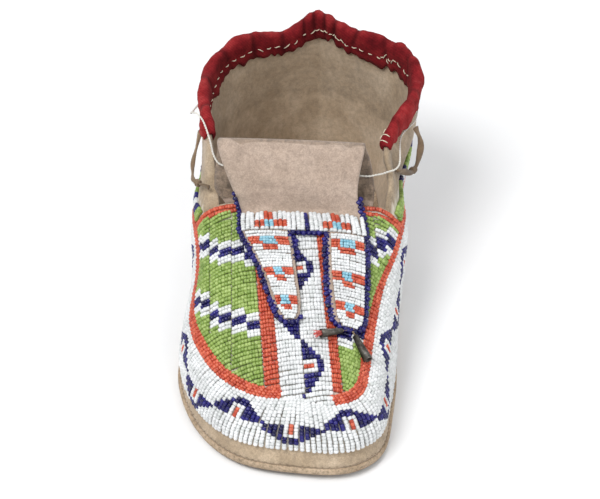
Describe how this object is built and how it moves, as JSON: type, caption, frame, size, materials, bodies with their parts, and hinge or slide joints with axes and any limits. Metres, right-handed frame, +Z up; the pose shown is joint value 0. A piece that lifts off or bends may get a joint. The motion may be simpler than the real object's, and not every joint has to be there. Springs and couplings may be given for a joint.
{
  "type": "beaded moccasin",
  "caption": "Low hide moccasin for the right foot, rawhide sole, glass beadwork in lanes, forked tongue and cloth-bound collar.",
  "frame": {"origin": "on the floor under the middle of the shoe's box", "axes": "-Y towards the toe, +X towards the medial side of this right shoe, +Z up from the sole"},
  "size_m": [0.1148, 0.2548, 0.0961],
  "materials": {
    "rawhide": "matt rawhide",
    "hide": "soft tanned hide, matt",
    "suede": "suede",
    "beads": "opaque glass seed beads, mostly white, with red, dark blue and light blue",
    "beads_green": "opaque glass seed beads, mostly green",
    "cloth": "matt woven cloth",
    "tin": "dull tinned sheet",
    "string": "white cotton string"
  },
  "bodies": {
    "root": {"sole": "rawhide", "upper": "hide", "tongue": "suede", "border_beadwork": "beads", "vamp_beadwork": "beads_green", "quarter_beadwork": "beads_green", "tongue_beadwork": "beads", "collar_binding": "cloth", "tin_cone_inner": "tin", "tin_cone_outer": "tin", "cone_thong_inner": "suede", "cone_thong_outer": "suede", "thong_lateral": "suede", "thong_medial": "suede", "tie_string": "string"}
  },
  "joints": []
}
